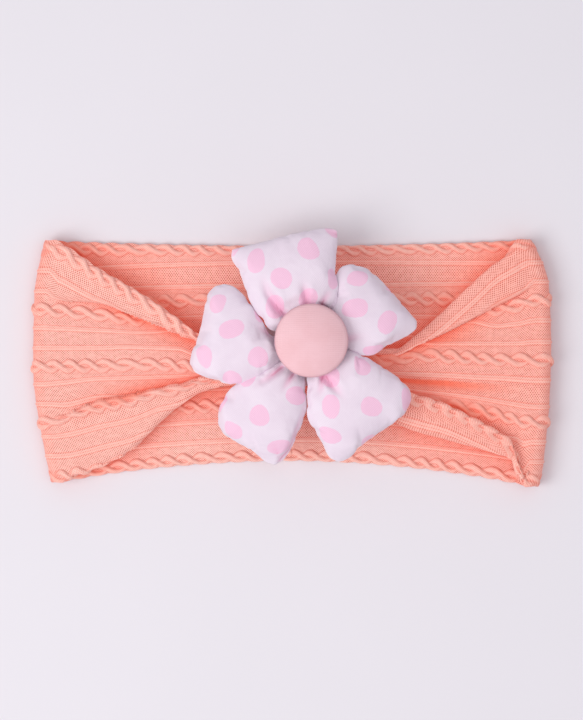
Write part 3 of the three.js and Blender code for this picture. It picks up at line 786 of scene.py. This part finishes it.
def along_line(points, count):
    """Evenly spaced points on a smooth line through the given ones."""
    points = np.asarray(points, float)
    chord = np.concatenate([[0], np.cumsum(np.linalg.norm(np.diff(points, axis=0), axis=1))])
    fine = np.linspace(0, chord[-1], 200)
    rounded = curve_through(chord, points, fine)
    for _ in range(12):
        rounded[1:-1] += 0.5 * ((rounded[:-2] + rounded[2:]) / 2 - rounded[1:-1])
    reach = np.concatenate([[0], np.cumsum(np.linalg.norm(np.diff(rounded, axis=0), axis=1))])
    at = np.linspace(0, reach[-1], count)
    return np.stack([np.interp(at, reach, rounded[:, k]) for k in range(2)], 1)


def spanned(near, far, neck, outer):
    """A grid of points spanning four border lines. It goes out from the neck, and from near to far."""
    s = np.linspace(0, 1, GRID)[:, None, None]
    t = np.linspace(0, 1, GRID)[None, :, None]
    straight = (1 - t) * near[:, None] + t * far[:, None] + (1 - s) * neck[None] + s * outer[None]
    corners = (1 - s) * ((1 - t) * neck[0] + t * neck[-1]) + s * ((1 - t) * outer[0] + t * outer[-1])
    return straight - corners


def outwards_of(petal):
    angle = math.radians(petal["axis"])
    return np.array([math.cos(angle), math.sin(angle)])


def petal_grid(petal, neck_half, grow):
    outwards = outwards_of(petal)
    sideways = np.array([-outwards[1], outwards[0]])
    middle = outwards * NECK_REACH
    neck_ends = middle + sideways * neck_half, middle - sideways * neck_half
    heart = outwards * HEART_REACH
    sides = []
    for end, side, corner in zip(neck_ends, ("near", "far"), (petal["outer"][0], petal["outer"][-1])):
        line = along_line([end, *petal[side], corner], GRID)
        ease = np.linspace(0, 1, GRID)[:, None] ** 0.5
        sides.append(line + (line - heart) * grow * ease)
    outer = along_line(petal["outer"], GRID)
    outer = outer + (outer - heart) * grow
    neck = neck_ends[0] + (neck_ends[1] - neck_ends[0]) * np.linspace(0, 1, GRID)[:, None]
    return spanned(sides[0], sides[1], neck, outer)


INNER = (slice(1, -1), slice(1, -1))
TOP_INDEX = np.arange(GRID * GRID).reshape(GRID, GRID)
UNDER_INDEX = TOP_INDEX.copy()  # the underside shares the top's rim
UNDER_INDEX[INNER] = GRID * GRID + np.arange((GRID - 2) ** 2).reshape(GRID - 2, GRID - 2)


def both_sides(top, under):
    return np.concatenate([top.reshape(-1, top.shape[-1]), under[INNER].reshape(-1, under.shape[-1])])


def petal_faces():
    top, under = grid_faces(TOP_INDEX)[:, OTHER_WAY], grid_faces(UNDER_INDEX)[:, OTHER_WAY]
    return np.concatenate([top, under[:, ::-1]])


def inflate_petals():
    """Fills the five petals together by cloth simulation. They are cut wide and drawn in at the neck."""
    bags = {}
    for word, petal in PETALS.items():
        start, cut = petal_grid(petal, *SEWN), petal_grid(petal, *CUT)
        s, t = np.meshgrid(np.linspace(0, 1, GRID), np.linspace(0, 1, GRID), indexing="ij")
        puff = 1.6 * np.sin(math.pi * s) ** 0.6 * np.sin(math.pi * t) ** 0.6
        puff += 0.5 * np.sin(t * math.pi * 7) * np.sin(math.pi * t) * (1 - s) ** 3 * np.minimum(s * 8, 1)
        top = np.concatenate([start, puff[..., None]], -1)
        under = np.concatenate([start, -puff[..., None]], -1)
        flat = np.concatenate([cut, 0 * puff[..., None]], -1)
        bag = new_piece(f"{word}_petal", both_sides(top, under) * SIM_SCALE / MM, petal_faces())
        bag.shape_key_add(name="filled")
        key = bag.shape_key_add(name="cut")
        key.data.foreach_set("co", (both_sides(flat, flat) * SIM_SCALE).ravel())
        key.value = 0
        pins = bag.vertex_groups.new(name="neck")
        pins.add([int(i) for i in TOP_INDEX[0]], 1.0, "REPLACE")
        cloth = bag.modifiers.new("stuffing", "CLOTH")
        settings = cloth.settings
        settings.quality = 6
        settings.mass = 0.3
        settings.tension_stiffness = settings.compression_stiffness = 40
        settings.shear_stiffness = 12
        settings.bending_stiffness = 0.35
        settings.air_damping = 4
        settings.vertex_group_mass = "neck"
        settings.rest_shape_key = key
        settings.use_pressure = True
        settings.uniform_pressure_force = 5
        settings.effector_weights.gravity = 0
        cloth.collision_settings.use_collision = False
        cloth.collision_settings.use_self_collision = False
        bags[word] = bag
    scene = bpy.context.scene
    for number in range(1, SIM_FRAMES + 1):
        scene.frame_set(number)
    depsgraph = bpy.context.evaluated_depsgraph_get()
    filled = {}
    for word, bag in bags.items():
        mesh = bag.evaluated_get(depsgraph).to_mesh()
        points = np.empty(len(mesh.vertices) * 3)
        mesh.vertices.foreach_get("co", points)
        filled[word] = points.reshape(-1, 3) / SIM_SCALE
        bpy.data.objects.remove(bag)
    scene.frame_set(1)
    return filled


def smoothed(line, rounds):
    line = line.copy()
    for _ in range(rounds):
        line[1:-1] += 0.5 * ((line[:-2] + line[2:]) / 2 - line[1:-1])
    return line


def line_distance(points, line):
    """Distance from points to a broken line, and how far along it the nearest place is, from 0 to 1."""
    best, along = np.full(points.shape[:-1], 1e9), np.zeros(points.shape[:-1])
    line = np.asarray(line, float)
    for k in range(len(line) - 1):
        run = line[k + 1] - line[k]
        t = np.clip(((points - line[k]) @ run) / (run @ run), 0, 1)
        gap = np.linalg.norm(points - line[k] - t[..., None] * run, axis=-1)
        along = np.where(gap < best, (k + t) / (len(line) - 1), along)
        best = np.minimum(best, gap)
    return best, along


def finish_petal(word, points, material):
    petal = PETALS[word]
    target = petal_grid(petal, *SEWN)
    flat = petal_grid(petal, *CUT)
    top = points[: GRID * GRID].reshape(GRID, GRID, 3).copy()
    under = top.copy()
    under[INNER] = points[GRID * GRID :].reshape(GRID - 2, GRID - 2, 3)

    # The outline comes back to its own shape. The small puckers of the seam stay.
    off = target - top[..., :2]
    borders = [smoothed(line, 2) for line in (off[:, 0], off[:, -1], off[0], off[-1])]
    move = spanned(*borders)
    top[..., :2] += move
    under[..., :2] += move

    full = np.percentile(top[..., 2], 97)
    s = np.linspace(0, 1, GRID)[:, None]
    t = np.linspace(0, 1, GRID)[None, :]
    for side, height in ((top, 5.0), (under, 4.4)):
        side[..., 2] *= height / max(full, 0.1)
    rise = 2.6 * smoothstep(0, 0.3, s) - 3.2 * s**2 + petal["lift"] * smoothstep(0.02, 0.2, s)

    # Creases drawn in where the neck is gathered.
    # The grooves are also marked for painted shade in the cotton's colour
    crease_shade = np.zeros((GRID, GRID))
    for line, depth, width in petal["creases"]:
        gap, along = line_distance(top[..., :2], line)
        groove = np.exp(-((gap / width) ** 2)) * smoothstep(-0.15, 0.75, along)
        shoulder = np.exp(-(((gap - 2.3 * width) / (1.1 * width)) ** 2)) * smoothstep(0, 1, along)
        top[..., 2] += -depth * groove + 0.3 * depth * shoulder
        crease_shade = np.maximum(crease_shade, groove)

    # The seam stands out a little and puckers.
    seams, neck = [np.s_[:, 0], np.s_[:, -1], np.s_[-1, :]], np.s_[0, :]
    for number, edge in enumerate(seams):
        line = top[edge]
        outward = unit(line[:, :2] - top[GRID // 2, GRID // 2, :2])
        beat = np.sin(np.arange(GRID) * 2.1 + number) * np.sin(np.arange(GRID) * 0.77 + 2 * number)
        line[:, :2] += outward * (0.12 + 0.15 * beat)[:, None]
        line[:, 2] += 0.25 * np.cos(np.arange(GRID) * 1.9 + number)

    top[..., 2] += NECK_Z + rise
    under[..., 2] += NECK_Z + rise
    reach = np.linalg.norm(top[..., :2], axis=-1)
    ceiling = BUTTON_Z - 1.2 + 3.8 * smoothstep(13.2, 17.5, reach)
    top[..., 2] = np.minimum(top[..., 2], ceiling)
    under[..., 2] = np.maximum(under[..., 2], FELT_TOP_Z + 0.3 - 3.5 * smoothstep(14.5, 19, reach))
    for edge in (*seams, neck):
        under[edge] = top[edge]

    # Dots, printed on the flat cloth so that they follow the swell of the petal.
    dot = np.full((GRID, GRID), 20.0)
    heart = outwards_of(petal) * HEART_REACH
    for centre in petal["dots"]:
        seen = np.linalg.norm(top[..., :2] - centre, axis=-1)
        nearest = np.unravel_index(np.argmin(seen), seen.shape)
        on_cloth = flat[nearest] + (np.array(centre) - top[nearest][:2])
        dot = np.minimum(dot, np.linalg.norm(flat - on_cloth, axis=-1))
    turned = (flat - heart) @ np.array([[0.94, -0.34], [0.34, 0.94]])
    cell = (turned + 3) / DOT_PITCH
    dot_under = np.linalg.norm(np.abs(cell - np.round(cell)) * DOT_PITCH, axis=-1)

    place = np.concatenate([FLOWER, [0]])
    points, cloth = both_sides(top + place, under + place), both_sides(flat, flat + 60)
    piece = new_piece(f"{word}_petal_stuffed", points, petal_faces(), cloth)
    paint(piece, "dot", both_sides(dot[..., None], dot_under[..., None]))
    from_seam = np.minimum(np.minimum(t, 1 - t), 1 - s)
    paint(piece, "crease_shade", both_sides(crease_shade[..., None], 0 * crease_shade[..., None]))
    paint(piece, "rim", both_sides((1 - smoothstep(0, 0.035, from_seam))[..., None], 0 * crease_shade[..., None]))
    swell = piece.modifiers.new("finer", "SUBSURF")
    swell.levels = swell.render_levels = 1
    dress(piece, material, f"{word}_petal")
    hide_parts(f"{word}_petal_cover", f"{word}_petal_filling")


def cotton_material():
    """Thin printed cotton: pale with round pink dots and a fine plain weave, with painted shade in its tucks.
    """
    s = Shader("dotted_cotton", roughness=0.82, Sheen_Weight=0.2, Sheen_Roughness=0.5)
    u, v = s.cloth()
    dot = s.attribute("dot")
    crease_shade = s.attribute("crease_shade")
    rim = s.attribute("rim")
    thread = TURN / 0.62
    weave = (u * thread).sin() * (v * thread).sin()
    edge = s.noise(s.vector(u, v), 1.6, 2.0) - 0.5
    inked = 1 - (dot + edge * 0.35).between(2.8, 3.1)
    cloudy = s.noise(s.vector(u, v), 0.16, 3.0)
    mottled = cloudy.between(0.3, 0.7) * 0.5 + weave.between(-0.7, 0.9) * 0.5
    ground = s.mix(mottled, (0.785, 0.66, 0.76), (0.86, 0.75, 0.84))
    ink = s.mix(weave.between(-0.6, 0.8), (0.88, 0.525, 0.69), (0.92, 0.60, 0.765))
    printed = s.mix(inked, ground, ink)
    # Paler along the seams
    paler_at_seams = s.mix(rim * 0.5, printed, (0.95, 0.88, 0.95))
    # Painted shade in the creases: pink, and deep red at their bottoms
    crease_shaded = s.mix(crease_shade * 0.6, paler_at_seams, (0.88, 0.42, 0.60))
    s.colour(s.mix(crease_shade.between(0.75, 1.0) * 0.5, crease_shaded, (0.62, 0.16, 0.28)))
    crumple = s.noise(s.vector(u, v), 0.35, 4.0, 0.55)
    s.bump(weave * 0.22 + crumple * 3.2, 0.5, 0.18)
    return s.material


# ---- the covered button, the felt discs and the threads ----


def turned_piece(name, profile, segments, wobble=0.0):
    """A closed round piece from a closed outline of radius and height, about the flower's middle."""
    profile = np.asarray(profile, float)
    angle = np.arange(segments) / segments * TURN
    radius = profile[:, 0][None] * (1 + wobble * np.sin(angle * 5 + 1)[:, None] * np.sin(angle * 3)[:, None])
    x, y = radius * np.cos(angle)[:, None], radius * np.sin(angle)[:, None]
    points = np.stack([x + FLOWER[0], y + FLOWER[1], profile[:, 1][None] + 0 * x], -1)
    faces = tube_faces(segments, len(profile))[:, OTHER_WAY]
    uv = points[..., :2] - FLOWER
    return new_piece(name, points.reshape(-1, 3), faces, uv.reshape(-1, 2), sharp=60)


def button_cloth_material():
    s = Shader("button_cloth", roughness=0.8, Sheen_Weight=0.25)
    u, v = s.cloth()
    pick = (v * TURN / 0.64 + (u * 0.5).sin() * 0.4).sin()
    end = (u * TURN / 0.5).sin()
    slub = s.noise(s.vector(u * 0.25, v * 2.2), 0.7, 3.0)
    cloudy = s.noise(s.vector(u, v), 0.12, 2.0)
    plain = s.mix(cloudy.between(0.35, 0.65), (0.86, 0.515, 0.55), (0.89, 0.555, 0.595))
    woven = s.mix((pick * 0.5 + 0.5) * 0.16 + (slub - 0.5) * 0.3, plain, (0.80, 0.42, 0.46))
    radius = (u * u + v * v).sqrt()
    # Painted shade in a thin dark ring round the button's shoulder
    s.colour(s.mix(radius.between(11.4, 11.85) * 0.55, woven, (0.62, 0.27, 0.32)))
    s.bump(pick * 0.35 + pick * end * 0.3 + slub * 0.7, 0.5, 0.15)
    return s.material


def build_button():
    top, base, dome_radius, cut_radius = 32.1, BUTTON_Z, 11.2, 18.5
    dome = [(r, top - 3.0 * (r / dome_radius) ** 2.3) for r in np.linspace(0.02, dome_radius, 22)]
    shoulder = [(11.7, top - 3.7), (11.95, top - 4.5), (11.95, base + 0.9), (11.6, base + 0.2)]
    turned_in = [(11.0, base), (9.6, base), (8.6, base + 0.2), (9.6, base + 0.45), (10.8, base + 0.5)]
    inside = [(11.3, base + 1.0), (11.4, top - 4.3), (11.0, top - 3.7)]
    under = [(r, z - 0.5) for r, z in dome[::-1]]
    cover = turned_piece("button_cover", dome + shoulder + turned_in + inside + under, 144)
    dress(cover, button_cloth_material(), "button")
    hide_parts("button_cover_cloth")


def felt_material():
    s = Shader("pink_felt", roughness=0.95, Sheen_Weight=0.4)
    fibre = s.noise(s.place(), 1.7, 5.0, 0.7)
    s.colour(s.mix(fibre, (0.80, 0.62, 0.66), (0.93, 0.80, 0.83)))
    s.bump(fibre, 0.8, 0.3)
    return s.material


def build_felts():
    felt = felt_material()
    for name, node, radius, low, high in (
        ("felt_disc_upper", "felt_backing", 15.0, 14.7, 15.9),
        ("felt_disc_lower", "inner_felt_disc", 8.2, 7.9, 9.0),
    ):
        radii = np.linspace(1.4, radius - 0.3, 8)
        profile = [(r, high) for r in radii] + [(radius, high - 0.35), (radius, low + 0.35)]
        profile += [(r, low) for r in radii[::-1]]
        disc = turned_piece(name, profile, 96, wobble=0.012)
        dress(disc, felt, "flower_base")
        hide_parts(node)


def twisted_thread(name, path, radius, material):
    """A thread of three twisted plies along a closed path in millimetres."""
    around = 10
    ahead = unit(np.roll(path, -1, axis=0) - np.roll(path, 1, axis=0))
    side = unit(np.cross(ahead, np.array([0.13, 0.21, 0.97])))
    up = np.cross(side, ahead)
    steps = np.linalg.norm(np.roll(path, -1, axis=0) - path, axis=1)
    twist = np.cumsum(steps) / steps.sum() * TURN * round(steps.sum() / (radius * 9))
    angle = np.arange(around) / around * TURN
    bulge = radius * (1 + 0.16 * np.cos(3 * angle[None] - twist[:, None]))
    sideways, upwards = (bulge * np.cos(angle))[..., None], (bulge * np.sin(angle))[..., None]
    rings = path[:, None] + sideways * side[:, None] + upwards * up[:, None]
    piece = new_piece(name, rings.reshape(-1, 3), tube_faces(len(path), around))
    dress(piece, material, "flower_base")
    return piece


def thread_material():
    s = Shader("sewing_thread", roughness=0.6, Sheen_Weight=0.3)
    fibre = s.noise(s.place(), 3.0, 4.0)
    s.colour(s.mix(fibre, (0.86, 0.66, 0.68), (0.95, 0.82, 0.84)))
    s.bump(fibre, 0.5, 0.1)
    return s.material


def wound(turns, steps, shape):
    """A closed winding: turns round shape(angle, share), which goes from one side to the other and back."""
    t = np.arange(turns * steps) / (turns * steps)
    share = 0.5 - 0.5 * np.cos(TURN * t)
    return shape(TURN * turns * t, share)


def build_threads():
    material = thread_material()

    def round_waist(angle, share):
        low, high, bottom, top = -6.4, 11.9, 8.7, 13.9
        c, s = np.cos(angle), np.sin(angle)
        y = (low + high) / 2 + (high - low) / 2 * np.sign(c) * np.abs(c) ** 0.7
        z = (bottom + top) / 2 + (top - bottom) / 2 * np.sign(s) * np.abs(s) ** 0.7
        return np.stack([-10.2 + 2.0 * share, y, z], 1)

    gather = twisted_thread("gathering_thread", wound(6, 60, round_waist), 0.3, material)
    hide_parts("gather_thread")

    def round_necks(angle, share):
        radius = 7.5 + 0.25 * np.cos(5 * angle)
        x, y = FLOWER[0] + radius * np.cos(angle), FLOWER[1] + radius * np.sin(angle)
        return np.stack([x, y, 16.6 + 1.0 * share], 1)

    necks = twisted_thread("neck_thread", wound(5, 90, round_necks), 0.28, material)
    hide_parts("petal_neck_thread")

    def down_through(angle, share):
        radius = 0.32 + 0.25 * share
        x, y = FLOWER[0] + radius * np.cos(angle * 3), FLOWER[1] + radius * np.sin(angle)
        return np.stack([x, y, 15.0 + 8.0 * np.cos(angle)], 1)

    stitches = twisted_thread("button_stitches", wound(4, 80, down_through), 0.26, material)
    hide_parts("sewing_thread")


def metal_material():
    s = Shader("tinned_steel", roughness=0.32, metallic=1.0)
    brushed = s.noise(s.place(), 2.2, 4.0)
    s.colour(s.mix(brushed, (0.55, 0.56, 0.58), (0.72, 0.73, 0.75)))
    s.rough(0.25 + brushed * 0.25)
    s.bump(brushed, 0.2, 0.05)
    return s.material


cotton = cotton_material()
for word, points in inflate_petals().items():
    finish_petal(word, points, cotton)
build_button()
build_felts()
build_threads()
steel = metal_material()
for node in ("button_cap", "button_back_plate", "button_shank"):
    frame_node = bpy.data.objects[node]
    frame_node.data.materials.clear()
    frame_node.data.materials.append(steel)


# ---- floor, light and camera ----


def build_floor():
    s = Shader("pale_table", roughness=0.75)
    cloudy = s.noise(s.place(), 0.012, 2.0)
    s.colour(s.mix(cloudy, (0.768, 0.736, 0.776), (0.798, 0.764, 0.806)))
    bpy.ops.mesh.primitive_plane_add(size=6, location=(0, 0, -0.00005))
    floor = bpy.context.object
    floor.name = "table_top"
    floor.data.materials.append(s.material)


def add_light(name, place, size, power, colour):
    light = bpy.data.lights.new(name, "AREA")
    light.shape, light.size, light.energy, light.color = "SQUARE", size, power, colour
    holder = bpy.data.objects.new(name, light)
    holder.location = place
    holder.rotation_euler = (-Vector(place)).to_track_quat("-Z", "Y").to_euler()
    bpy.context.collection.objects.link(holder)


def build_light():
    world = bpy.data.worlds.new("studio")
    world.use_nodes = True
    background = world.node_tree.nodes["Background"]
    background.inputs["Color"].default_value = (0.95, 0.95, 1.0, 1)
    background.inputs["Strength"].default_value = 0.54
    bpy.context.scene.world = world
    add_light("window", (-0.75, -0.25, 0.95), 0.7, 7.4, (1.0, 0.99, 0.98))
    add_light("ceiling", (0.15, -0.15, 1.3), 1.2, 4.2, (1.0, 0.99, 1.0))


def build_camera():
    data = bpy.data.cameras.new("camera")
    camera = bpy.data.objects.new("camera", data)
    camera_z, knit_top, view_width = 0.95, 8 * MM, 192.4 * MM
    camera.location = (0.17 * MM, 1.3 * MM, camera_z)
    data.sensor_fit = "HORIZONTAL"
    data.sensor_width = 36
    data.lens = data.sensor_width * (camera_z - knit_top) / view_width
    bpy.context.collection.objects.link(camera)
    bpy.context.scene.camera = camera


bpy.context.scene.view_settings.view_transform = "Standard"
build_floor()
build_light()
build_camera()
